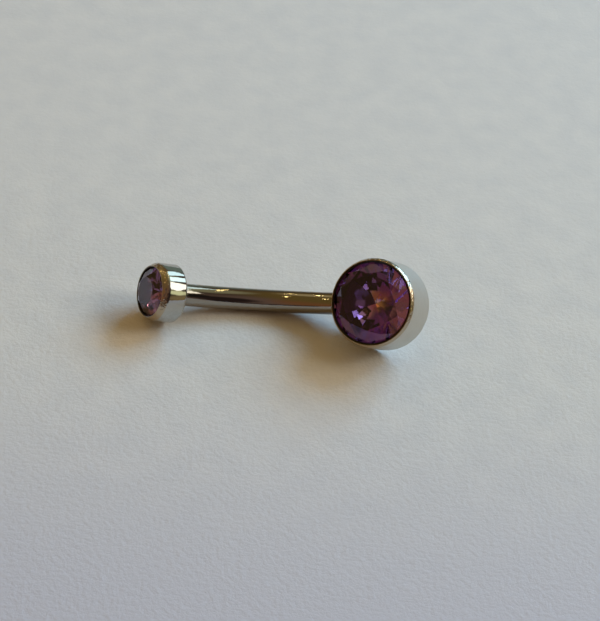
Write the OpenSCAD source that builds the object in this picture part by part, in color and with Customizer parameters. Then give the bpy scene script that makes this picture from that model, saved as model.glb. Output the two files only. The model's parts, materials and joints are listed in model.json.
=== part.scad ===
/* [Bar] */
// Diameter of the bar
bar_d = 1.6; // [1.4:0.1:1.8]
// Straight distance from the large cup's wall to the small cup's back
bar_reach = 12; // [11:0.25:13]
// Angle that the bar bends through
bar_turn = 58; // [56:1:62]
// Height of the bar's centre line over the large cup's back, where it is soldered on
bar_rise = 0.95; // [0.92:0.01:1.05]

/* [Large cup] */
// Outside diameter
large_d = 6.3; // [6.2:0.05:6.8]
// Height from the back to the top of the lip
large_h = 3.15; // [3.05:0.05:3.4]
// Radius of the rounded back edge
large_edge = 0.12; // [0.05:0.01:0.14]
// How far the wall below the seat stands in from the outside
large_wall = 0.55; // [0.45:0.05:0.7]
// Height of the bevel round the lip
large_lip_h = 0.25; // [0.15:0.05:0.4]
// How far the lip leans in at the top
large_lip_in = 0.09; // [0.05:0.01:0.12]

/* [Large stone] */
// Diameter across the girdle
large_stone_d = 5.8; // [5.6:0.05:5.85]
// Slope of the pavilion
large_pavilion_angle = 36; // [34:1:39]
// Slope of the crown
large_crown_angle = 38; // [32:1:40]
// Share of the stone's radius that the table takes
large_table_share = 0.69; // [0.6:0.01:0.76]

/* [Small cup] */
// Outside diameter
small_d = 4.15; // [4.1:0.05:4.5]
// Height from the back to the top of the lip
small_h = 1.92; // [1.85:0.01:2.2]
// Radius of the rounded back edge
small_edge = 0.14; // [0.05:0.01:0.2]
// How far the wall below the seat stands in from the outside
small_wall = 0.5; // [0.4:0.05:0.6]
// Height of the bevel round the lip
small_lip_h = 0.43; // [0.3:0.01:0.5]
// How far the lip leans in at the top
small_lip_in = 0.25; // [0.15:0.01:0.27]

/* [Small stone] */
// Diameter across the girdle
small_stone_d = 3.6; // [3.4:0.05:3.65]
// Slope of the pavilion
small_pavilion_angle = 30; // [24:1:32]
// Slope of the crown
small_crown_angle = 36; // [30:1:40]
// Share of the stone's radius that the table takes
small_table_share = 0.58; // [0.52:0.01:0.7]

/* [Both stones] */
// Share of the way from table to girdle that the stars take
star_share = 0.5; // [0.35:0.05:0.6]
// Share of the way from girdle to point that the lower girdle facets take
lower_share = 0.77; // [0.65:0.01:0.85]
// Height of the girdle
girdle_h = 0.09; // [0.05:0.01:0.12]
// How far the girdle's top lies below the top of the lip
girdle_drop = 0.22; // [0.19:0.01:0.28]
// How far the lip reaches in over the girdle
lip_cover = 0.08; // [0.05:0.01:0.1]

/* [Post] */
// Diameter of the hidden post under the small cup
post_d = 0.8; // [0.6:0.05:0.9]
// Length of the post
post_l = 1.5; // [1:0.1:1.8]
// Clearance between pieces
fit = 0.03; // [0.02:0.005:0.05]

/* [Hidden] */
$fn = 128;
// The bore is this much deeper than the post is long.
bore_over = 0.1;
// The bar's root reaches this far past the large cup's round wall.
bar_root = 0.1;
// The post's root reaches this far into the small cup's floor.
post_root = 0.1;
// The floor of a cup's well lies this far under the stone's point.
point_clear = 0.06;
// Degrees between two kites of a stone, and from a kite to a star
KITE_ANGLE = 45;
STAR_ANGLE = KITE_ANGLE / 2;
METAL = "#c9cacc";
STONE = "#5b2d46";

bar_r = bar_d / 2;
large_r = large_d / 2;
small_r = small_d / 2;

// The ring's own axes: the large cup's back is centred on the origin with its axis along +Z.
// The bar leaves its wall along -X and bends up towards +Z, in the XZ plane.
bend_r = bar_reach / 2 / sin(bar_turn / 2);
bend_centre = [-large_r, 0, bar_rise + bend_r];
large_axis = [0, 0, 1];
small_axis = [-cos(bar_turn), 0, sin(bar_turn)];
bar_end = bend_centre - bend_r * [sin(bar_turn), 0, cos(bar_turn)];
small_back = bar_end + fit * small_axis;
// depth at which the bar's whole round end is inside the large cup's wall
root_l = large_r - sqrt(large_r * large_r - bar_r * bar_r) + bar_root;

// The ring lies on three points: the back edge of each cup, and the bow of the bar.
// lean tips the bar's plane over and tilt turns the ring within that plane, in degrees.
function up(lean, tilt) = [cos(lean) * sin(tilt), sin(lean), cos(lean) * cos(tilt)];
// lowest height of a round edge: c its centre on the back, n its axis, r its radius, e its rounding
function edge_low(u, c, n, r, e) = u * (c + e * n) - (r - e) * norm(cross(u, n)) - e;
function bar_low(u) = u * bend_centre - bend_r * norm([u.x, u.z]) - bar_r;
function large_over(u) = edge_low(u, [0, 0, 0], large_axis, large_r, large_edge) - bar_low(u);
function small_over(u) = edge_low(u, small_back, small_axis, small_r, small_edge) - bar_low(u);

// Both searches halve a span of degrees, in which the height difference falls through zero.
HALVINGS = 40;
TILT_ANGLES = [-20, 80];
LEAN_ANGLES = [5, 75];
function tilt_at(lean, lo = TILT_ANGLES[0], hi = TILT_ANGLES[1], n = HALVINGS) =
    let (mid = (lo + hi) / 2)
    n == 0 ? mid
    : large_over(up(lean, mid)) > 0 ? tilt_at(lean, lo, mid, n - 1)
    : tilt_at(lean, mid, hi, n - 1);
function lean_at(lo = LEAN_ANGLES[0], hi = LEAN_ANGLES[1], n = HALVINGS) =
    let (mid = (lo + hi) / 2)
    n == 0 ? mid
    : small_over(up(mid, tilt_at(mid))) > 0 ? lean_at(mid, hi, n - 1)
    : lean_at(lo, mid, n - 1);
lean = lean_at();
tilt = tilt_at(lean);

// A vector of the ring's own axes, turned as the ring lies, before its heading is set.
function laid(p) =
    let (x = p.x * cos(tilt) - p.z * sin(tilt), z = p.x * sin(tilt) + p.z * cos(tilt))
    [x, p.y * cos(lean) - z * sin(lean), p.y * sin(lean) + z * cos(lean)];
// The small cup's back lies straight towards -X from the large cup's back.
heading = -atan2(-laid(small_back).y, -laid(small_back).x);
function turned(p) =
    let (q = laid(p))
    [q.x * cos(heading) - q.y * sin(heading), q.x * sin(heading) + q.y * cos(heading), q.z];

// Round edges that bound the ring: centre, axis, radius
EDGES = [
    [[0, 0, large_edge], large_axis, large_r],
    [(large_h - large_lip_h) * large_axis, large_axis, large_r],
    [large_h * large_axis, large_axis, large_r - large_lip_in],
    [small_back + small_edge * small_axis, small_axis, small_r],
    [small_back + (small_h - small_lip_h) * small_axis, small_axis, small_r],
    [small_back + small_h * small_axis, small_axis, small_r - small_lip_in]];
// farthest that a round edge reaches along the direction d
function reach_of(edge, d) = d * turned(edge[0]) + edge[2] * norm(cross(d, turned(edge[1])));
function reach(d) = max([for (edge = EDGES) reach_of(edge, d)]);
middle = [(reach([1, 0, 0]) - reach([-1, 0, 0])) / 2, (reach([0, 1, 0]) - reach([0, -1, 0])) / 2];
floor_z = bar_low(up(lean, tilt));

// Places a piece of the ring's own axes as the ring lies, centred over the origin, on z = 0.
module lying() {
    translate([-middle.x, -middle.y, -floor_z])
        rotate([lean, 0, heading])
            rotate([0, -tilt, 0])
                children();
}

// The small cup's own axes: its back is centred on the origin, its axis along +Z.
module at_small_cup() {
    translate(small_back) rotate([0, bar_turn - 90, 0]) children();
}

// Sizes of a stone, from its radius, the slopes of its crown and pavilion, and its table's share
function crown_h(r, crown, table) = (1 - table) * r * tan(crown);
function star_r(r, table) = let (flat = table * r * cos(STAR_ANGLE)) flat + star_share * (r - flat);
function star_h(r, crown, table) = (r - star_r(r, table) * cos(STAR_ANGLE)) * tan(crown);
function lower_r(r) = (1 - lower_share) * r;
function lower_h(r, pavilion) = (r - lower_r(r) * cos(STAR_ANGLE)) * tan(pavilion);
function ring_of(count, r, z, start = 0) =
    [for (k = [0 : count - 1]) let (a = start + k * 360 / count) [r * cos(a), r * sin(a), z]];

// Round brilliant with the top of its girdle at z = 0.
// Points in rings of 8 or 16: table, star tips, girdle top, girdle bottom, lower tips, point
module brilliant(r, crown, pavilion, table) {
    points = concat(
        ring_of(8, table * r, crown_h(r, crown, table)),
        ring_of(8, star_r(r, table), star_h(r, crown, table), STAR_ANGLE),
        ring_of(16, r, 0),
        ring_of(16, r, -girdle_h),
        ring_of(8, lower_r(r), -girdle_h - lower_h(r, pavilion), STAR_ANGLE),
        [[0, 0, -girdle_h - r * tan(pavilion)]]);
    star = 8;
    top = 16;
    bottom = 32;
    lower = 48;
    point = 56;
    table_face = [[for (k = [7 : -1 : 0]) k]];
    eighths = [for (k = [0 : 7])
        let (next = (k + 1) % 8, last = (k + 7) % 8, g = 2 * k, mid = 2 * k + 1, far = (2 * k + 2) % 16)
        each [
            [k, next, star + k],
            [k, star + k, top + g, star + last],
            [star + k, top + mid, top + g],
            [star + k, top + far, top + mid],
            [top + g, top + mid, bottom + mid, bottom + g],
            [top + mid, top + far, bottom + far, bottom + mid],
            [bottom + g, bottom + mid, lower + k],
            [bottom + mid, bottom + far, lower + k],
            [bottom + g, lower + k, point, lower + last]]];
    polyhedron(points, concat(table_face, eighths));
}

// Half outline of a closed cup with its back on z = 0: a rounded back edge, a bevelled lip,
// a pocket for the girdle, a sloped seat under it and a straight well with a flat floor.
module cup_outline(r, h, edge, wall, lip_h, lip_in, stone_r, crown, pavilion, table) {
    girdle_z = h - girdle_drop;
    seat_z = girdle_z - girdle_h - fit;
    open_r = stone_r - lip_cover;
    pocket_r = stone_r + fit;
    well_r = r - wall;
    facet = star_h(stone_r, crown, table) / (stone_r - star_r(stone_r, table));
    lip_z = girdle_z + lip_cover * facet + fit;
    point_z = girdle_z - girdle_h - stone_r * tan(pavilion);
    polygon([
        [0, 0], [r - edge, 0], [r - edge, edge], [r, edge],
        [r, h - lip_h], [r - lip_in, h], [open_r, h], [open_r, lip_z],
        [pocket_r, girdle_z + fit], [pocket_r, seat_z],
        [well_r, seat_z - (pocket_r - well_r) * tan(pavilion)],
        [well_r, point_z - point_clear], [0, point_z - point_clear]]);
    translate([r - edge, edge]) circle(edge);
}

module large_cup_shell() {
    rotate_extrude()
        cup_outline(large_r, large_h, large_edge, large_wall, large_lip_h, large_lip_in,
                    large_stone_d / 2, large_crown_angle, large_pavilion_angle,
                    large_table_share);
}

// Bent length and the short straight root in the cup's wall
module bar_solid() {
    translate(bend_centre)
        rotate([0, 90, 0])
            rotate([-90, 0, 0])
                rotate_extrude(angle = bar_turn)
                    translate([bend_r, 0])
                        circle(bar_r);
    translate([-large_r, 0, bar_rise])
        rotate([0, 90, 0])
            cylinder(r = bar_r, h = root_l);
}

module bar_and_large_cup() {
    color(METAL) lying() difference() {
        union() {
            large_cup_shell();
            bar_solid();
        }
        at_small_cup() translate([0, 0, -post_l - bore_over])
            cylinder(d = post_d + 2 * fit, h = post_l + bore_over + 2 * fit);
    }
}

module large_stone() {
    color(STONE) lying() translate([0, 0, large_h - girdle_drop])
        brilliant(large_stone_d / 2, large_crown_angle, large_pavilion_angle, large_table_share);
}

module small_cup() {
    color(METAL) lying() at_small_cup() union() {
        rotate_extrude()
            cup_outline(small_r, small_h, small_edge, small_wall, small_lip_h, small_lip_in,
                        small_stone_d / 2, small_crown_angle, small_pavilion_angle,
                        small_table_share);
        translate([0, 0, -post_l]) cylinder(d = post_d, h = post_l + post_root);
    }
}

module small_stone() {
    color(STONE) lying() at_small_cup() translate([0, 0, small_h - girdle_drop])
        brilliant(small_stone_d / 2, small_crown_angle, small_pavilion_angle, small_table_share);
}

bar_and_large_cup();
large_stone();
small_cup();
small_stone();
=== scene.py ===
# %% [markdown]
# # A navel ring on pale paper
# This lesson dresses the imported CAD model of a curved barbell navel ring, so that it looks as it
# does in its photograph. The real ring has five things to make: a bent bar, two round cups
# (bezel settings) that hold a stone each, and the two plum-coloured stones. We load the CAD model
# first, because every new piece has to lie exactly where the CAD solid lies.

# %% Load the frame
import json
from math import cos, degrees, pi, radians, sin, sqrt, tan

import bmesh
import bpy
from mathutils import Matrix, Vector


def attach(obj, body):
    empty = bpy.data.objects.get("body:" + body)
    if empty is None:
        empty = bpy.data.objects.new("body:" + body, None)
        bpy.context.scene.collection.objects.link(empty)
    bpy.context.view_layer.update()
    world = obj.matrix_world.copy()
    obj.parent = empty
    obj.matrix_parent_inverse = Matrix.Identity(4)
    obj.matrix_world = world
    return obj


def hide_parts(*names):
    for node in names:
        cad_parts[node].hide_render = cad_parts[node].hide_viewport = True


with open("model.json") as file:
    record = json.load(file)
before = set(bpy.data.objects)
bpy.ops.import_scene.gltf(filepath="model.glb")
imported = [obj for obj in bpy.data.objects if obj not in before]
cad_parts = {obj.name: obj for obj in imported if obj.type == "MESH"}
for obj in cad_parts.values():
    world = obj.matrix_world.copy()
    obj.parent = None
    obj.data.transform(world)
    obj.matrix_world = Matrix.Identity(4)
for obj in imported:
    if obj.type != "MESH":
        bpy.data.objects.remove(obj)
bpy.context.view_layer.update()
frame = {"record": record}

# %% [markdown]
# ## The ring's own axes
# The ring lies tipped over on the paper, so its sizes are hard to use in the world's axes. The
# large cup's back and the two cups' directions are in the record as mounts. From them we build
# the ring's own axes, in which Z is the large cup's axis and the bar bends in the XZ plane. We
# model in millimetres there, and one matrix then turns millimetres into the world's metres.

# %% Axes of the two cups
MM = 0.001
mounts = {mount["name"]: mount for mount in frame["record"]["mounts"]}


def seat_of(mount):
    """A cup's back centre in the world, and its axis towards the stone."""
    return Vector(mount["pos_m"]), -Vector(mount["axis"]).normalized()


large_back, large_axis = seat_of(mounts["large_cup_back"])
small_back, small_axis = seat_of(mounts["small_cup_back"])
across = small_axis.cross(large_axis).normalized()


def place(back, axis):
    """Matrix from a cup's own axes in millimetres to the world in metres."""
    tipped = Matrix((across.cross(axis), across, axis)).transposed().to_4x4()
    return Matrix.Translation(back) @ tipped @ Matrix.Scale(MM, 4)


AT_LARGE = place(large_back, large_axis)
AT_SMALL = place(small_back, small_axis)
bend = degrees(large_axis.angle(-small_axis))
print("angle between the cups' backs:", round(bend, 2), "degrees")

# %% [markdown]
# ## Sizes
# These are the CAD source's own sizes, in millimetres. The bar is 14 gauge, 1.6 mm thick, as a
# navel bar nearly always is. A few are for the eye only: soft rounds the corner where a cup's
# wall meets its lip, and the large cup's lip is 0.26 high and leans in by 0.14, where the solid's
# is 0.25 high and leans in by 0.09, because the bright line round the real stone is that wide.

# %% Sizes in millimetres
BAR_R = 0.8
BAR_REACH = 12.0
BAR_TURN = radians(58)
BAR_RISE = 0.95
BAR_ROOT = 0.1  # how far the bar runs on past the large cup's wall
POST_R, POST_L = 0.4, 1.5
FIT = 0.03
BORE_R, BORE_L = POST_R + FIT, POST_L + 0.1
GIRDLE_H, GIRDLE_DROP, LIP_COVER = 0.09, 0.22, 0.08
STAR_SHARE, LOWER_SHARE = 0.5, 0.77
POINT_CLEAR = 0.06

large = dict(r=3.15, h=3.15, edge=0.12, soft=0.05, wall=0.55, lip_h=0.26, lip_in=0.14,
             stone_r=2.9, crown=radians(38), pavilion=radians(36), table=0.69)
small = dict(r=2.075, h=1.92, edge=0.14, soft=0.13, wall=0.5, lip_h=0.43, lip_in=0.25,
             stone_r=1.8, crown=radians(36), pavilion=radians(30), table=0.58)
BEND_R = BAR_REACH / 2 / sin(BAR_TURN / 2)
BEND_CENTRE = Vector((-large["r"], 0, BAR_RISE + BEND_R))
print("radius of the bar's bend:", round(BEND_R, 2), "mm")

# %% [markdown]
# ## Helpers that finish a piece
# Every piece ends the same way. Its mesh goes from the cup's axes to the world, its faces get
# smooth normals except where two of them meet at a real edge, and it rides on the CAD body.
# The Weighted Normal modifier lets the large faces decide the normals at a rounded edge, so a
# polished wall mirrors the room without a false bulge.

# %% Finish a piece
SHARP = radians(38)  # faces that meet at more than this keep a crisp edge
EVENNESS = 80        # how far the large faces rule the normals, of 100


def finish_piece(bm, name, where, replaces, smooth=True):
    """A finished object at the origin, from a bmesh in a cup's own millimetres."""
    bmesh.ops.recalc_face_normals(bm, faces=bm.faces[:])
    bmesh.ops.transform(bm, matrix=where, verts=bm.verts[:])
    mesh = bpy.data.meshes.new(name)
    bm.to_mesh(mesh)
    bm.free()
    piece = bpy.data.objects.new(name, mesh)
    bpy.context.scene.collection.objects.link(piece)
    if smooth:
        mesh.polygons.foreach_set("use_smooth", [True] * len(mesh.polygons))
        mesh.set_sharp_from_angle(angle=SHARP)
        weighted = piece.modifiers.new("even polish", "WEIGHTED_NORMAL")
        weighted.keep_sharp = True
        weighted.weight = EVENNESS
    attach(piece, "root")
    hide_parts(replaces)
    print(f"{name}: {len(mesh.vertices)} vertices, {len(mesh.polygons)} faces")
    return piece


# %% [markdown]
# ## The cups
# A bezel cup is turned on a lathe: a closed back with a rounded edge, a straight wall, and a thin
# lip that is pressed over the stone and bevelled. Cylinders cut out of each other could make it,
# but the cuts would leave ragged faces that a mirror finish shows at once. So we work as the
# lathe does: a few vertices make half of the outline, the corners that a finger would find soft
# are rounded with a vertex bevel, and a full spin about the axis turns the outline into the cup.
# The inside has the seat, the pocket and the well of the real setting, since the stones are
# clear enough to see them.

# %% Outline of a cup
LIP_SOFT = 0.045   # rounding of the lip's top edge
LIP_SLOPE = 0.08   # how far the lip's top falls towards the stone
INNER_SOFT = 0.03  # rounding of the lip's inner edge
WELL_SOFT = 0.1    # rounding at the foot of the well


def star_size(stone):
    """Radius and height over the girdle of the tips of a stone's star facets."""
    flat = stone["table"] * stone["stone_r"] * cos(pi / 8)
    star_r = flat + STAR_SHARE * (stone["stone_r"] - flat)
    return star_r, (stone["stone_r"] - star_r * cos(pi / 8)) * tan(stone["crown"])


def cup_outline(cup):
    """Half outline as (radius, height, rounding), from the back's edge to the well's middle."""
    star_r, star_h = star_size(cup)
    girdle_z = cup["h"] - GIRDLE_DROP
    seat_z = girdle_z - GIRDLE_H - FIT
    open_r = cup["stone_r"] - LIP_COVER
    pocket_r = cup["stone_r"] + FIT
    well_r = cup["r"] - cup["wall"]
    lip_z = girdle_z + LIP_COVER * star_h / (cup["stone_r"] - star_r) + FIT
    floor_z = girdle_z - GIRDLE_H - cup["stone_r"] * tan(cup["pavilion"]) - POINT_CLEAR
    return [
        (cup["r"], 0, cup["edge"]), (cup["r"], cup["h"] - cup["lip_h"], cup["soft"]),
        (cup["r"] - cup["lip_in"], cup["h"], LIP_SOFT),
        (open_r, cup["h"] - LIP_SLOPE, INNER_SOFT), (open_r, lip_z, 0),
        (pocket_r, girdle_z + FIT, 0), (pocket_r, seat_z, 0),
        (well_r, seat_z - (pocket_r - well_r) * tan(cup["pavilion"]), 0),
        (well_r, floor_z, WELL_SOFT), (0, floor_z, 0)]


print("corners of a cup's outline:", len(cup_outline(large)))

# %% Turn both cups
TURNS = 192       # faces round a cup
CORNER_CUTS = 6   # faces across a rounded corner
SEAM = 0.0005     # vertices nearer than this to each other are one
POST_SOFT = 0.06


def turned(points):
    """A lathe-turned bmesh from an outline whose two ends lie on the axis."""
    bm = bmesh.new()
    row = [bm.verts.new((r, 0, z)) for r, z, _ in points]
    for one, other in zip(row, row[1:]):
        bm.edges.new((one, other))
    for vert, (_, _, rounding) in zip(row, points):
        if rounding:
            bmesh.ops.bevel(bm, geom=[vert], offset=rounding, offset_type="OFFSET",
                            segments=CORNER_CUTS, profile=0.5, affect="VERTICES", material=-1)
    bmesh.ops.spin(bm, geom=bm.verts[:] + bm.edges[:], cent=(0, 0, 0), axis=(0, 0, 1),
                   angle=2 * pi, steps=TURNS, use_merge=True, dvec=(0, 0, 0))
    bmesh.ops.remove_doubles(bm, verts=bm.verts[:], dist=SEAM)
    return bm


post = [(0, -POST_L, 0), (POST_R, -POST_L, POST_SOFT), (POST_R, 0, 0)]
large_bm = turned([(0, 0, 0)] + cup_outline(large))
small_bm = turned(post + cup_outline(small))
large_cup = finish_piece(large_bm, "large_bezel", AT_LARGE, "bar_and_large_cup")
small_cup = finish_piece(small_bm, "small_bezel", AT_SMALL, "small_cup")

# %% [markdown]
# ## The bar
# The bar is a straight 1.6 mm rod bent to an arc and soldered square to the large cup's wall.
# A curve with a bevel could make it, but a spun circle keeps every ring of vertices square to
# the arc. Its near end runs on a little into the wall, and a small concave fillet of solder goes
# round the joint. Its far end is chamfered and bored for the small cup's post.

# %% Bend the bar
BAR_SIDES = 96
BAR_STEPS = 120


def edges_of(geometry):
    return [item for item in geometry if isinstance(item, bmesh.types.BMEdge)]


def verts_of(geometry):
    return [item for item in geometry if isinstance(item, bmesh.types.BMVert)]


bm = bmesh.new()
facing_wall = Matrix.Translation((-large["r"], 0, BAR_RISE)) @ Matrix.Rotation(pi / 2, 4, "Y")
bmesh.ops.create_circle(bm, cap_ends=False, segments=BAR_SIDES, radius=BAR_R, matrix=facing_wall)
root_edges = bm.edges[:]
spun = bmesh.ops.spin(bm, geom=bm.verts[:] + bm.edges[:], cent=BEND_CENTRE, axis=(0, 1, 0),
                      angle=BAR_TURN, steps=BAR_STEPS, use_merge=False, dvec=(0, 0, 0))
end_edges = edges_of(spun["geom_last"])
end_centre = sum((v.co for v in verts_of(spun["geom_last"])), Vector()) / BAR_SIDES
print("bar's end, mm:", [round(v, 3) for v in end_centre])

# %% Root, end face and bore
CHAMFER = 0.035
CHAMFER_CUTS = 3
ROOT_L = large["r"] - sqrt(large["r"] ** 2 - BAR_R ** 2) + BAR_ROOT
root = bmesh.ops.extrude_edge_only(bm, edges=root_edges)["geom"]
bmesh.ops.translate(bm, verts=verts_of(root), vec=(ROOT_L, 0, 0))
bmesh.ops.edgeloop_fill(bm, edges=[e for e in edges_of(root) if e.is_boundary])
outward = Vector((-cos(BAR_TURN), 0, sin(BAR_TURN)))
around_end = Matrix.Translation(-end_centre)
rim = bmesh.ops.extrude_edge_only(bm, edges=end_edges)["geom"]
bmesh.ops.scale(bm, vec=(BORE_R / BAR_R,) * 3, space=around_end, verts=verts_of(rim))
bore_mouth = [e for e in edges_of(rim) if e.is_boundary]
bore = bmesh.ops.extrude_edge_only(bm, edges=bore_mouth)["geom"]
bmesh.ops.translate(bm, verts=verts_of(bore), vec=-outward * BORE_L)
bmesh.ops.edgeloop_fill(bm, edges=[e for e in edges_of(bore) if e.is_boundary])
bmesh.ops.bevel(bm, geom=end_edges, offset=CHAMFER, offset_type="OFFSET", segments=CHAMFER_CUTS,
                profile=0.5, affect="EDGES", material=-1)
print("bar with its bore:", len(bm.faces), "faces")

# %% Solder fillet
SOLDER = 0.08
SKIRT, COLLAR = 3 * SOLDER, 1.5 * SOLDER  # how far it runs along the bar and out on the wall
fillet = bmesh.new()
corner = [fillet.verts.new((BAR_R, 0, SKIRT)), fillet.verts.new((BAR_R, 0, 0)),
          fillet.verts.new((BAR_R + COLLAR, 0, 0))]
fillet.edges.new(corner[:2])
fillet.edges.new(corner[1:])
bmesh.ops.bevel(fillet, geom=[corner[1]], offset=SOLDER, offset_type="OFFSET",
                segments=CORNER_CUTS, profile=0.5, affect="VERTICES", material=-1)
bmesh.ops.spin(fillet, geom=fillet.verts[:] + fillet.edges[:], cent=(0, 0, 0), axis=(0, 0, 1),
               angle=2 * pi, steps=BAR_SIDES, use_merge=True, dvec=(0, 0, 0))
bmesh.ops.transform(fillet, matrix=Matrix.Rotation(-pi / 2, 4, "Y"), verts=fillet.verts[:])
for vert in fillet.verts:
    # the ring is bent back with the round wall that it lies on
    vert.co.x += large["r"] - sqrt(large["r"] ** 2 - vert.co.y ** 2)
bmesh.ops.translate(fillet, verts=fillet.verts[:], vec=(-large["r"], 0, BAR_RISE))
solder_mesh = bpy.data.meshes.new("solder")
fillet.to_mesh(solder_mesh)
fillet.free()
bm.from_mesh(solder_mesh)
bar = finish_piece(bm, "curved_bar", AT_LARGE, "bar_and_large_cup")

# %% [markdown]
# ## The stones
# A round brilliant is ground one flat facet at a time. Its corners could be typed in as a list,
# but then every change of an angle would need a new list. So we cut ours as a cutter does: a
# plain disc is the rough stone, and each facet is a plane that bisects it and throws the outside
# away. There are the table, 8 stars, 8 kites and 16 upper girdle facets on the crown, and 16
# lower girdle facets and 8 mains on the pavilion. The angles and the table's width were read
# from the photograph. Last, every edge gets a hair-thin bevel, because real facet edges catch
# little sparks of light.

# %% Cut a brilliant
ROUGH_SIDES = 128
ROUGH_SHARE = 2.4    # height of the rough disc, as a share of the pavilion's depth
CUT_GRIP = 0.0004    # a vertex this near to a cut counts as on it
CORNER_GRIP = 0.002  # corners nearer than this to each other are one


def round_point(r, angle, z):
    return Vector((r * cos(angle), r * sin(angle), z))


def grind(bm, a, b, c):
    """Cuts the stone along the plane through three points and closes the cut with a facet."""
    normal = (b - a).cross(c - a).normalized()
    if normal.dot(a) < 0:
        normal.negate()
    cut = bmesh.ops.bisect_plane(bm, geom=bm.verts[:] + bm.edges[:] + bm.faces[:],
                                 dist=CUT_GRIP, plane_co=a, plane_no=normal, clear_outer=True)
    rim = edges_of(cut["geom_cut"])
    if len(rim) > 2:
        bmesh.ops.edgeloop_fill(bm, edges=rim)


def brilliant(stone):
    """A cut stone whose girdle has its top at z = 0."""
    r, depth = stone["stone_r"], stone["stone_r"] * tan(stone["pavilion"])
    table_r, table_z = stone["table"] * r, (1 - stone["table"]) * r * tan(stone["crown"])
    star_r, star_h = star_size(stone)
    lower_r = (1 - LOWER_SHARE) * r
    lower_z = -GIRDLE_H - (r - lower_r * cos(pi / 8)) * tan(stone["pavilion"])
    point = Vector((0, 0, -GIRDLE_H - depth))
    bm = bmesh.new()
    bmesh.ops.create_cone(bm, cap_ends=True, cap_tris=False, segments=ROUGH_SIDES, radius1=r,
                          radius2=r, depth=ROUGH_SHARE * depth)
    for k in range(8):
        kite, step = k * pi / 4, pi / 8
        corner = round_point(table_r, kite, table_z)
        star = round_point(star_r, kite + step, star_h)
        lower = round_point(lower_r, kite + step, lower_z)
        grind(bm, corner, round_point(table_r, kite + 2 * step, table_z), star)
        grind(bm, corner, star, round_point(star_r, kite - step, star_h))
        for turn in (0, step):
            grind(bm, star, round_point(r, kite + turn, 0), round_point(r, kite + turn + step, 0))
            grind(bm, lower, round_point(r, kite + turn, -GIRDLE_H),
                  round_point(r, kite + turn + step, -GIRDLE_H))
        grind(bm, lower, round_point(lower_r, kite - step, lower_z), point)
    # the table lies through any three points at its height
    grind(bm, *(round_point(table_r, angle, table_z) for angle in (0, 1, 2)))
    bmesh.ops.remove_doubles(bm, verts=bm.verts[:], dist=CORNER_GRIP)
    return bm


# %% Set the stones
EDGE_SOFT = 0.012   # width of the bevel on a facet's edge
RIDGE = radians(3)  # flatter joints than this are one facet
SEEN_FACET = 0.02   # square millimetres


def set_stone(bm, cup, name, where, replaces):
    """Softens a cut stone's edges and sets it under its cup's lip."""
    bmesh.ops.recalc_face_normals(bm, faces=bm.faces[:])
    ridges = [e for e in bm.edges if e.is_manifold and e.calc_face_angle() > RIDGE]
    bmesh.ops.bevel(bm, geom=ridges, offset=EDGE_SOFT / 2, offset_type="OFFSET", segments=1,
                    profile=0.5, affect="EDGES", material=-1)
    bmesh.ops.translate(bm, verts=bm.verts[:], vec=(0, 0, cup["h"] - GIRDLE_DROP))
    facets = sum(1 for f in bm.faces if f.calc_area() > SEEN_FACET)
    print(f"{name}: {facets} facets larger than {SEEN_FACET} square mm")
    return finish_piece(bm, name, where, replaces, smooth=False)


large_gem = set_stone(brilliant(large), large, "large_brilliant", AT_LARGE, "large_stone")
small_gem = set_stone(brilliant(small), small, "small_brilliant", AT_SMALL, "small_stone")

# %% [markdown]
# ## Colours and nodes
# Colours are written as sRGB hex codes, as a paint programme shows them, and one function turns
# them into the linear values that the renderer works in. One more function adds a node with its
# settings and links. Patterns read Object coordinates in metres, so a noise's scale is worked
# out from a real size in millimetres. A Mix node has sockets for numbers, vectors and colours
# under the same names, so its colour sockets are picked by their place in the list.

# %% Helpers for materials
MIX_A, MIX_B, MIX_RESULT = 6, 7, 2


def colour(code):
    """An sRGB hex colour as linear red, green, blue and alpha."""
    channels = [int(code[k:k + 2], 16) / 255 for k in (1, 3, 5)]
    return [c / 12.92 if c <= 0.04045 else ((c + 0.055) / 1.055) ** 2.4 for c in channels] + [1]


def per(millimetres):
    """Noise scale whose blotches are about this large."""
    return 1 / (millimetres * MM)


def add(tree, kind, inputs=None, **settings):
    """Adds a node, sets its properties, and sets or links its inputs."""
    made = tree.nodes.new(kind)
    for name, value in settings.items():
        setattr(made, name, value)
    for name, value in (inputs or {}).items():
        if isinstance(value, bpy.types.NodeSocket):
            tree.links.new(value, made.inputs[name])
        else:
            made.inputs[name].default_value = value
    return made


def new_material(name):
    material = bpy.data.materials.new(name)
    material.use_nodes = True
    material.node_tree.nodes.clear()
    return material, material.node_tree


print("mid grey in linear light:", [round(c, 3) for c in colour("#808080")])

# %% [markdown]
# ## Polished surgical steel
# Body jewellery is 316L steel, turned and then buffed on a cloth wheel. Buffing leaves a mirror
# that is not quite flat: the eye sees a sharp reflection whose edges waver, and faint hairlines.
# A metal shader with one low roughness would be too perfect, as in a drawing. So the roughness
# has a fine noise in it, and two gentle bumps bend the reflections. One recipe serves every
# steel surface, and only its numbers tell a mirror from a satin wall.

# %% Buffed steel
HAZE_MM = 0.5                     # size of the blotches in which the polish is finer or duller
LEAST_HAZE, MOST_HAZE = 0.7, 1.5  # shares of the steel's own roughness
HAIR_MM = 0.06                    # real buffing lines are finer, and wouldn't show at this size


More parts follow.
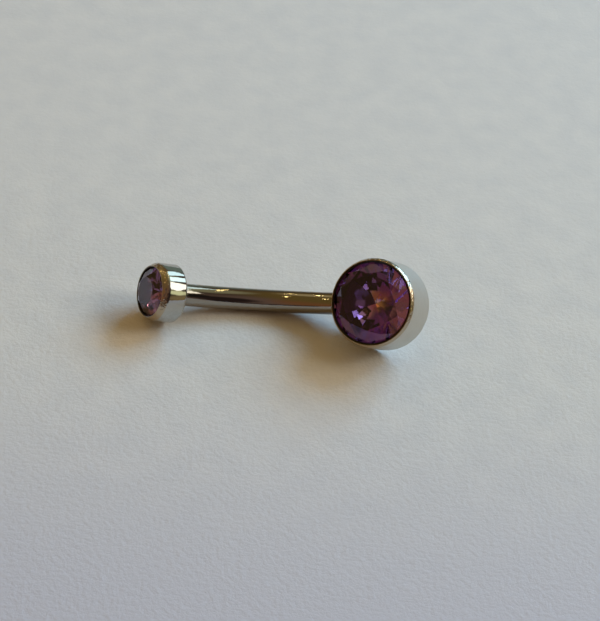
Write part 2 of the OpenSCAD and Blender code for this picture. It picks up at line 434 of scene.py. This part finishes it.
def buffed_steel(name, base, rough, wave_mm, wave_depth_mm, hair_depth_mm):
    material, tree = new_material(name)
    at = add(tree, "ShaderNodeTexCoord").outputs["Object"]
    haze = add(tree, "ShaderNodeTexNoise",
               {"Vector": at, "Scale": per(HAZE_MM), "Detail": 5.0, "Roughness": 0.65})
    wave = add(tree, "ShaderNodeTexNoise", {"Vector": at, "Scale": per(wave_mm), "Detail": 2.0})
    hair = add(tree, "ShaderNodeTexNoise", {"Vector": at, "Scale": per(HAIR_MM), "Detail": 3.0})
    polish = add(tree, "ShaderNodeMapRange",
                 {"Value": haze.outputs["Fac"], "To Min": rough * LEAST_HAZE,
                  "To Max": rough * MOST_HAZE})
    waver = add(tree, "ShaderNodeBump", {"Height": wave.outputs["Fac"], "Strength": 1.0,
                                         "Distance": wave_depth_mm * MM})
    scuff = add(tree, "ShaderNodeBump", {"Height": hair.outputs["Fac"], "Strength": 1.0,
                                         "Distance": hair_depth_mm * MM,
                                         "Normal": waver.outputs["Normal"]})
    shader = add(tree, "ShaderNodeBsdfPrincipled",
                 {"Base Color": colour(base), "Metallic": 1.0,
                  "Roughness": polish.outputs["Result"], "Normal": scuff.outputs["Normal"]})
    add(tree, "ShaderNodeOutputMaterial", {"Surface": shader.outputs["BSDF"]})
    return material


# %% Five finishes of the same steel
# the small cup's wall is a clear mirror: the window's panes stand in it with almost sharp edges
steel = buffed_steel("buffed_316L_steel", "#b5b2ac", 0.06, 0.5, 0.006, 0.0005)
# the bar is buffed by hand: a darker, warmer mirror, whose long bands are a little ragged
bar_steel = buffed_steel("drawn_and_buffed_bar", "#9c948a", 0.05, 0.45, 0.005, 0.0014)
# the large cup's wall was left satin by the lathe: it glows softly and shows no images
satin_steel = buffed_steel("satin_turned_steel", "#cdc8be", 0.42, 0.9, 0.003, 0.0006)
# a burnisher has rubbed the lips over the stones: small dents break the light into sparks
lip_steel = buffed_steel("burnished_lip_steel", "#b4a48e", 0.05, 0.22, 0.06, 0.003)
# painted shade: the steel inside a lip is nearly black and dull, for the shade in the hollow by
# the stone
inner_lip_shade_steel = buffed_steel("inner_lip_painted_shade", "#332e2a", 0.16, 0.12, 0.016, 0.002)
print("steel finishes:", [m.name for m in (steel, bar_steel, satin_steel, lip_steel, inner_lip_shade_steel)])

# %% [markdown]
# ## Plum stone
# The stones are a synthetic crystal, cut and polished, clear plum by transmitted light. Its index
# is far above glass, so most light that enters is thrown about between the facets before it
# leaves, and that makes the patchwork of brown, orange and violet under the table. The large
# stone's tint isn't the same everywhere, and most of its zones are painted light: the orange
# heart right of its middle is a painted reflection of warm lamplight, the greyer lower left crown
# a painted reflection of the paper, the nearly black far left rim painted shade from the lip, and
# the dark violet patch low on the right a painted dark reflection. The left half is a smoky,
# almost clear tint. A painted picture could show that, but it would lie on the stone like a film.
# So the crystal gets a few round zones of tint with soft, wandering edges, and the facets still
# do the drawing. The Specular Tint makes the light that the facets mirror a little violet, as the
# photograph shows it.

# %% Plum crystal
CLOUD_MM = 1.2  # size of the clouds that make a zone's edge wander
WANDER = 0.5    # how far it wanders, in millimetres
OVER_LIP = 0.4  # a zone's middle is counted from a point this far above the cup's lip
UP = Vector((0, 0.74, 0.67))  # the way across the world that runs up the picture


def plum_crystal(name, where, cup, gloss, plain_tint, zones):
    """A clear stone with round zones of other tints, each with a soft edge.

    A zone is (right, up, outer, inner, tint): its middle on the stone's table as the camera sees
    it, the radius where it begins and the radius where it is full, in millimetres.
    """
    material, tree = new_material(name)
    at = add(tree, "ShaderNodeTexCoord").outputs["Object"]
    cloud = add(tree, "ShaderNodeTexNoise", {"Vector": at, "Scale": per(CLOUD_MM), "Detail": 1.0})
    heart = where @ Vector((0, 0, cup["h"] + OVER_LIP))
    tint = colour(plain_tint)
    for right, up, outer, inner, zone_tint in zones:
        middle = heart + (Vector((right, 0, 0)) + up * UP) * MM
        away = add(tree, "ShaderNodeVectorMath", {0: at, 1: middle}, operation="DISTANCE")
        wander = add(tree, "ShaderNodeMath", {0: cloud.outputs["Fac"], 1: WANDER * MM,
                                              2: away.outputs["Value"]}, operation="MULTIPLY_ADD")
        zone = add(tree, "ShaderNodeMapRange", {"Value": wander.outputs[0],
                                                "From Min": (outer + WANDER / 2) * MM,
                                                "From Max": (inner + WANDER / 2) * MM},
                   interpolation_type="SMOOTHSTEP")
        tint = add(tree, "ShaderNodeMix", {"Factor": zone.outputs["Result"], MIX_A: tint,
                                           MIX_B: colour(zone_tint)},
                   data_type="RGBA").outputs[MIX_RESULT]
    shader = add(tree, "ShaderNodeBsdfPrincipled",
                 {"Base Color": tint, "Roughness": 0.01, "IOR": 2.0, "Transmission Weight": 1.0,
                  "Specular Tint": colour(gloss)})
    add(tree, "ShaderNodeOutputMaterial", {"Surface": shader.outputs["BSDF"]})
    return material


# %% The two stones' tints
large_plum = plum_crystal(
    "large_plum_crystal", AT_LARGE, large, "#c8b4e4", "#743ebc",
    # painted reflection: the greyer lower left crown stands for the paper mirrored in it
    [(-1.5, -2.8, 1.9, 1.2, "#84849c"),   # greyer lower left crown
     (-0.8, -0.1, 1.6, 1.2, "#fff0de"),   # smoky, almost clear left half of the table
     # painted shade: the dark far left rim stands for the lip's shadow on the stone
     (-3.5, 0.7, 2.5, 1.9, "#0e0c14"),    # dark far left rim
     # painted reflection: the dark violet patch stands for a dark reflection
     (1.7, -1.7, 0.9, 0.5, "#40246c"),    # dark violet patch, low on the right
     # painted reflection: the orange heart stands for warm lamplight thrown back by the facets
     (0.97, 0.06, 1.1, 0.75, "#e08c88")])  # orange heart
small_plum = plum_crystal(
    "small_plum_crystal", AT_SMALL, small, "#d8c8e0", "#86609c",
    # partly painted reflection: the greyer table adds to the paper that it really mirrors
    [(-0.9, 0.0, 1.2, 0.7, "#8a7888"),    # greyer table
     (-0.2, -1.2, 0.7, 0.2, "#7c5c78")])  # browner lower edge
print("crystals:", large_plum.name, small_plum.name)

# %% [markdown]
# ## Finishes on the pieces
# Each cup carries three finishes: its wall, its burnished lip, and the inner edge, dark with
# painted shade.
# They could be three objects, but then their seams would have to meet exactly. So the cup stays
# one mesh, and a face's height and radius in the cup's own axes say which finish it gets.

# %% Paint the pieces
LIP_DEPTH = 0.02  # how far the burnishing runs down past the lip's corner
for piece, cup, where, wall in ((large_cup, large, AT_LARGE, satin_steel),
                                (small_cup, small, AT_SMALL, steel)):
    for finish in (wall, lip_steel, inner_lip_shade_steel):
        piece.data.materials.append(finish)
    back = where.inverted()
    for face in piece.data.polygons:
        at = back @ face.center
        on_lip = at.z > cup["h"] - cup["lip_h"] - LIP_DEPTH
        inside = at.xy.length < cup["r"] - cup["lip_in"] - LIP_SOFT
        # index 2 puts the inner lip's painted shade on the faces inside the lip
        face.material_index = on_lip * (1 + inside)
    print(piece.name, "lip faces:", sum(1 for f in piece.data.polygons if f.material_index == 1))
bar.data.materials.append(bar_steel)
large_gem.data.materials.append(large_plum)
small_gem.data.materials.append(small_plum)

# %% [markdown]
# ## The paper
# The ring lies on a sheet of white paper, large enough that its edge never shows. The grain of
# uncoated paper is soft and shallow, and side light makes it visible. The photograph is sharp
# near the ring and in front of it, and softer behind. A lens blur would be lost in other views,
# so the grain itself grows shallower towards the back. A painted shade turns the sheet a little
# cooler towards the front, where less of the lamps' warm light falls.

# %% Paper sheet
SHEET = 1.2
bm = bmesh.new()
bmesh.ops.create_grid(bm, x_segments=1, y_segments=1, size=SHEET / 2)
paper_mesh = bpy.data.meshes.new("paper")
bm.to_mesh(paper_mesh)
bm.free()
paper = bpy.data.objects.new("paper", paper_mesh)
bpy.context.scene.collection.objects.link(paper)
print("paper:", SHEET, "m square")

# %% Uncoated paper
# fibres pressed between rollers: a matt white with low bumps and pale clouds, and no gloss, and a
# painted shade that cools the front
FIBRE_MM, CLOUDING_MM = 0.4, 2.2
# painted shade: the paper cools towards the front, fully at FRONT_MM
FRONT_MM = -30               # the front's cooler tone is full here
NEAR_MM, FAR_MM = 2, 24      # the grain fades between these
GRAIN_MM, FAINT_MM = 0.07, 0.02
material, tree = new_material("uncoated_white_paper")
at = add(tree, "ShaderNodeTexCoord").outputs["Object"]
fibre = add(tree, "ShaderNodeTexNoise", {"Vector": at, "Scale": per(FIBRE_MM), "Detail": 4.0,
                                         "Roughness": 0.65})
cloud = add(tree, "ShaderNodeTexNoise", {"Vector": at, "Scale": per(CLOUDING_MM), "Detail": 5.0})
mottle = add(tree, "ShaderNodeMapRange", {"Value": cloud.outputs["Fac"], "From Min": 0.3,
                                          "From Max": 0.7})
tone = add(tree, "ShaderNodeMix", {"Factor": mottle.outputs["Result"], MIX_A: colour("#e3e4e2"),
                                   MIX_B: colour("#ebebe7")}, data_type="RGBA")
along = add(tree, "ShaderNodeSeparateXYZ", {0: at}).outputs["Y"]
painted_front_shade = add(tree, "ShaderNodeMapRange", {"Value": along, "From Min": 0.0,
                                          "From Max": FRONT_MM * MM},
             interpolation_type="SMOOTHSTEP")
tone = add(tree, "ShaderNodeMix", {"Factor": painted_front_shade.outputs["Result"],
                                   MIX_A: tone.outputs[MIX_RESULT], MIX_B: colour("#d6d8e4")},
           data_type="RGBA")
depth = add(tree, "ShaderNodeMapRange", {"Value": along, "From Min": NEAR_MM * MM,
                                         "From Max": FAR_MM * MM, "To Min": GRAIN_MM * MM,
                                         "To Max": FAINT_MM * MM})
grain = add(tree, "ShaderNodeBump", {"Height": fibre.outputs["Fac"], "Strength": 1.0,
                                     "Distance": depth.outputs["Result"]})
shader = add(tree, "ShaderNodeBsdfPrincipled",
             {"Base Color": tone.outputs[MIX_RESULT], "Roughness": 0.9,
              "Specular IOR Level": 0.2, "Normal": grain.outputs["Normal"]})
add(tree, "ShaderNodeOutputMaterial", {"Surface": shader.outputs["BSDF"]})
paper.data.materials.append(material)
print("paper's grain, mm deep:", GRAIN_MM, "to", FAINT_MM)

# %% [markdown]
# ## The dark card
# Jewellery is photographed with a dark card just outside the picture, a flag, so that the metal
# shows a crisp dark line between the paper and the room. Ours stands low in front, under the
# camera. The camera doesn't see it, and it takes no light from the paper and throws no shadow, so
# only the steel and the stones know that it is there, from whichever side the ring is seen.

# %% Black flag
FLAG_WIDE, FLAG_HIGH, FLAG_AWAY = 0.05, 0.006, 0.045
bm = bmesh.new()
upright_card = (Matrix.Translation((0, -FLAG_AWAY, FLAG_HIGH / 2))
                @ Matrix.Rotation(pi / 2, 4, "X")
                @ Matrix.Diagonal((FLAG_WIDE / 2, FLAG_HIGH / 2, 1, 1)))
bmesh.ops.create_grid(bm, x_segments=1, y_segments=1, size=1, matrix=upright_card)
flag_mesh = bpy.data.meshes.new("black_flag")
bm.to_mesh(flag_mesh)
bm.free()
flag = bpy.data.objects.new("black_flag", flag_mesh)
flag.visible_camera = flag.visible_diffuse = flag.visible_shadow = False
bpy.context.scene.collection.objects.link(flag)
print("flag:", FLAG_WIDE, "m wide,", FLAG_HIGH, "m high")

# %% Black card
# dyed card is matt and never fully black: the line that it draws in the steel is a soft brown
CARD_CLOUD_MM = 2.0
material, tree = new_material("black_card")
at = add(tree, "ShaderNodeTexCoord").outputs["Object"]
fibre = add(tree, "ShaderNodeTexNoise", {"Vector": at, "Scale": per(CARD_CLOUD_MM),
                                         "Detail": 3.0})
tone = add(tree, "ShaderNodeMix", {"Factor": fibre.outputs["Fac"], MIX_A: colour("#1a1616"),
                                   MIX_B: colour("#2c2526")}, data_type="RGBA")
shader = add(tree, "ShaderNodeBsdfPrincipled", {"Base Color": tone.outputs[MIX_RESULT],
                                                "Roughness": 0.95})
add(tree, "ShaderNodeOutputMaterial", {"Surface": shader.outputs["BSDF"]})
flag.data.materials.append(material)
print("flag's material:", material.name)

# %% [markdown]
# ## Light
# Polished metal shows its room, so the room matters as much as the steel. The reflections in the
# small cup's wall were traced back to where they come from, and the shadows agree with them: a
# cool window behind and to the right, in three panes, gives the brown shadows. Warm little lamps
# behind and to the left fill them. Azimuth 0 looks away from the camera and 90 to its right.

# %% Directions and lights
RING_MIDDLE = Vector((0.0, 0.0, 0.002))
NEAR_LIGHT, FAR_LIGHT = 0.45, 0.6  # metres from the ring


def direction(azimuth, elevation):
    a, e = radians(azimuth), radians(elevation)
    return Vector((sin(a) * cos(e), cos(a) * cos(e), sin(e)))


def soft_light(name, azimuth, elevation, wide, high, radiance, tint, distance=NEAR_LIGHT):
    """A rectangular light that spans wide by high degrees as seen from the ring."""
    data = bpy.data.lights.new(name, "AREA")
    data.shape = "RECTANGLE"
    data.size = 2 * distance * tan(radians(wide / 2))
    data.size_y = 2 * distance * tan(radians(high / 2))
    data.color = colour(tint)[:3]
    data.energy = radiance * pi * data.size * data.size_y
    light = bpy.data.objects.new(name, data)
    away = direction(azimuth, elevation)
    light.location = RING_MIDDLE + away * distance
    light.rotation_euler = away.to_track_quat("Z", "Y").to_euler()
    bpy.context.scene.collection.objects.link(light)
    return light


# %% [markdown]
# A camera presses very bright things down to plain white. In its picture the window that the
# steel mirrors is hardly brighter than the paper, although it must be many times brighter to
# light the paper so. So each pane is two lights here. Light linking lets the strong one reach
# only the dull things, the paper and the large cup with its satin wall, and a dimmer one, which
# shines on everything, is what the mirrors and the crystals show.

# %% Window
window_light = [
    soft_light("window_light_left", 34, 35, 16.5, 22, 7.8, "#96ccfb", distance=FAR_LIGHT),
    soft_light("window_light_middle", 57, 35, 17.5, 22, 6.9, "#96ccfb", distance=FAR_LIGHT),
    soft_light("window_light_right", 89, 38, 21, 22, 3.0, "#fff0dc", distance=FAR_LIGHT)]
dull_things = bpy.data.collections.new("dull_things")
dull_things.objects.link(paper)
dull_things.objects.link(large_cup)
for light in window_light:
    light.light_linking.receiver_collection = dull_things
soft_light("window_left_pane", 32, 35, 14.5, 22, 2.2, "#ccf2ff")
soft_light("window_middle_pane", 58.5, 35, 15.5, 22, 2.4, "#d6f6ff")
soft_light("window_right_pane", 91, 38, 24, 22, 2.6, "#fbfcf0")

# %% [markdown]
# Two broad warm glows stand for all the lamplight that the walls send back. They are too even to
# be seen as shapes, so the steel doesn't mirror them. The row of glints along the bar is made by
# seven tiny lamps. Each stands in the direction that the round bar mirrors to the camera at a
# glint's place in the photograph. They light no dull surface, since their whole share is in the
# glows already.

# %% Lamps
glows = [soft_light("lamp_glow", -40, 18, 100, 22, 0.5, "#ffb060", distance=0.3),
         soft_light("ceiling_glow", -40, 72, 70, 60, 0.12, "#ffb870", distance=0.5)]
for glow in glows:
    glow.visible_glossy = False
GLINT_WIDE, GLINT_RADIANCE = 1.4, 50.0
GLINTS = [(33, 55), (24, 49), (16, 42), (-13, 45), (-68, 76), (-29, 44), (-84, 53)]
for azimuth, elevation in GLINTS:
    glint = soft_light(f"lamp_{azimuth}_{elevation}", azimuth, elevation, GLINT_WIDE, GLINT_WIDE,
                       GLINT_RADIANCE, "#ffeaa4")
    glint.visible_diffuse = False
print("lamps:", len(GLINTS))

# %% [markdown]
# ## The room
# Between the lamps the steel mirrors brown walls, a door, a shelf. A picture of a real room could
# be wrapped round the scene, but here a few soft patches of colour on the world's sphere do it,
# each in the direction that the ring's reflections ask for. A patch's colour is written as the
# steel shows it. Steel sends back a little under half of the light, so one gain for the whole
# room makes up for that.

# %% Walls of the room
STEEL_SHARE = 0.45
BARE_WALL = "#40352c"
WALLS = [  # name, azimuth, elevation, radius and soft edge in degrees, colour in the steel
    ("front_wall", -170, 25, 45, 25, "#554740"),
    ("wooden_door", -125, 25, 32, 20, "#64442a"),
    ("olive_wall", -70, 45, 45, 25, "#584a28"),
    ("pale_shelf", -30, 48, 10, 8, "#8c805f"),
    ("over_the_window", 50, 57, 16, 10, "#75745c"),
    ("dark_corner", 126, 25, 12, 5, "#161412"),
    ("dark_doorway", 152, 24, 18, 10, "#221a19"),
    ("low_cupboard", 117, 4, 8, 6, "#64563c"),
    ("grey_green_wall", 14, 8, 14, 9, "#55605a"),
    ("pale_frame", 110, 21, 6, 3, "#b8b890")]
world = bpy.data.worlds.new("dim_brown_room")
world.use_nodes = True
room = world.node_tree
room.nodes.clear()
looking = add(room, "ShaderNodeTexCoord").outputs["Generated"]
shade = colour(BARE_WALL)
for name, azimuth, elevation, radius, soft, tint in WALLS:
    nearness = add(room, "ShaderNodeVectorMath", {0: looking, 1: direction(azimuth, elevation)},
                   operation="DOT_PRODUCT").outputs["Value"]
    inside = add(room, "ShaderNodeMapRange",
                 {"Value": nearness, "From Min": cos(radians(radius + soft)),
                  "From Max": cos(radians(radius - soft / 2))}, interpolation_type="SMOOTHSTEP")
    shade = add(room, "ShaderNodeMix", {"Factor": inside.outputs["Result"], MIX_A: shade,
                                        MIX_B: colour(tint)},
                data_type="RGBA", label=name).outputs[MIX_RESULT]
background = add(room, "ShaderNodeBackground", {"Color": shade, "Strength": 1 / STEEL_SHARE})
add(room, "ShaderNodeOutputWorld", {"Surface": background.outputs[0]})
bpy.context.scene.world = world
print("patches on the walls:", len(WALLS))

# %% [markdown]
# ## Camera
# The camera could be turned by eye, but the outlines of both cups and the bar fix it far better:
# they were solved for its place, about 42 degrees above the paper, almost straight in front of
# the ring, a little rolled, and 160 mm away. The Standard view transform keeps the colours as
# they are mixed, so that a hex code in a material can be compared with the photograph.

# %% Camera
AIM = Vector((1.359, 0.667, 1.595)) * MM
CAMERA_AZIMUTH, CAMERA_ELEVATION, CAMERA_ROLL = radians(3.876), radians(42.17), radians(7.32)
DISTANCE = 160 * MM
NEAREST = 10 * MM
FOCAL_PX, PHOTO_WIDE_PX = 2257.8, 600
SENSOR_MM = 36
away = Vector((-sin(CAMERA_AZIMUTH) * cos(CAMERA_ELEVATION),
               -cos(CAMERA_AZIMUTH) * cos(CAMERA_ELEVATION), sin(CAMERA_ELEVATION)))
lens = bpy.data.cameras.new("camera")
lens.sensor_fit = "HORIZONTAL"
lens.sensor_width = SENSOR_MM
lens.lens = FOCAL_PX / PHOTO_WIDE_PX * SENSOR_MM
lens.clip_start = NEAREST
camera = bpy.data.objects.new("camera", lens)
level = Vector((0, 0, 1)).cross(away).normalized()
upright = away.cross(level)
right = level * cos(CAMERA_ROLL) + upright * sin(CAMERA_ROLL)
turn = Matrix((right, away.cross(right), away)).transposed().to_4x4()
camera.matrix_world = Matrix.Translation(AIM + away * DISTANCE) @ turn
bpy.context.scene.collection.objects.link(camera)
bpy.context.scene.camera = camera
bpy.context.scene.view_settings.view_transform = "Standard"
print("lens:", round(lens.lens, 2), "mm")
